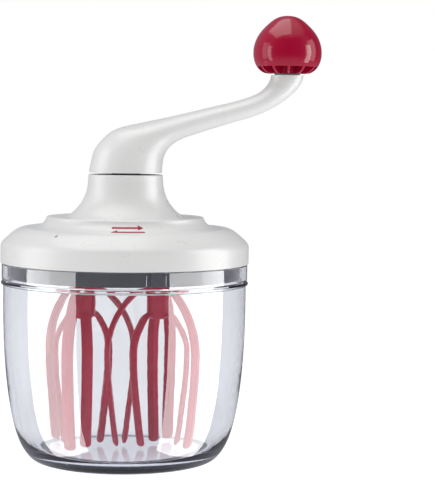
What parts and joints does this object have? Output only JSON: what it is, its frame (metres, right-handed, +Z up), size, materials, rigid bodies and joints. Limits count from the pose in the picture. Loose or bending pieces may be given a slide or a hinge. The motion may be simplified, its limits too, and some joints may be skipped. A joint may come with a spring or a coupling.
{
  "type": "hand-cranked egg beater with bowl",
  "caption": "Clear beaker with a stepped white lid, a swept side crank with an egg-shaped knob, and a pair of meshing flat-tine whisks geared to turn opposite ways.",
  "frame": {"origin": "centre of the bowl's flat underside", "axes": "+Z up along the bowl's and crank's axis, +X towards the crank knob, -Y towards the front"},
  "size_m": [0.1805, 0.1404, 0.2517],
  "materials": {
    "clear_plastic": "clear moulded plastic, polished, faint blue-grey tint",
    "white_plastic": "white moulded plastic, satin gloss",
    "crimson_plastic": "deep crimson moulded plastic, glossy",
    "dark_plastic": "dark grey moulded plastic, satin",
    "gear_plastic": "off-white acetal",
    "bush_plastic": "light grey acetal",
    "steel": "turned steel",
    "seal_rubber": "grey silicone",
    "foot_rubber": "dark grey soft-touch rubber"
  },
  "bodies": {
    "bowl": {"bowl": "clear_plastic", "foot_ring": "foot_rubber"},
    "lid": {"lid_shell": "white_plastic", "closure_ring": "dark_plastic", "lid_seal": "seal_rubber", "gear_cover": "white_plastic", "cover_screws": "steel", "neck_bush_upper": "bush_plastic", "neck_bush_lower": "bush_plastic", "whisk_bush_left": "bush_plastic", "whisk_bush_right": "bush_plastic"},
    "crank": {"crank_arm": "white_plastic", "drive_shaft": "steel", "crank_cross_pin": "steel", "drive_gear": "gear_plastic", "crank_screw": "steel", "crank_washer": "steel", "knob_pin": "white_plastic", "knob_washer": "bush_plastic"},
    "knob": {"knob": "crimson_plastic"},
    "whisk_right": {"whisk_right": "crimson_plastic", "spindle_right": "steel", "pinion_right": "gear_plastic", "timing_gear_right": "gear_plastic", "circlip_right": "steel"},
    "whisk_left": {"whisk_left": "crimson_plastic", "spindle_left": "steel", "spacer_left": "gear_plastic", "timing_gear_left": "gear_plastic", "circlip_left": "steel"}
  },
  "joints": [
    {"name": "lid_lift", "type": "slide", "parent": "bowl", "child": "lid", "axis": [0, 0, 1], "range_m": [0, 0.115]},
    {"name": "crank_turn", "type": "hinge", "parent": "lid", "child": "crank", "pos_m": [0, 0, 0.162], "axis": [0, 0, 1], "continuous": true},
    {"name": "knob_spin", "type": "hinge", "parent": "crank", "child": "knob", "pos_m": [0.0909, 0, 0.23], "axis": [0, 0, 1], "continuous": true},
    {"name": "whisk_right_spin", "type": "hinge", "parent": "lid", "child": "whisk_right", "pos_m": [0.0189, 0, 0.1], "axis": [0, 0, 1], "continuous": true},
    {"name": "whisk_left_spin", "type": "hinge", "parent": "lid", "child": "whisk_left", "pos_m": [-0.0231, 0, 0.1], "axis": [0, 0, 1], "continuous": true}
  ],
  "couplings": [
    {"joint": "whisk_right_spin", "follows": "crank_turn", "ratio": -2.6},
    {"joint": "whisk_left_spin", "follows": "crank_turn", "ratio": 2.6}
  ]
}
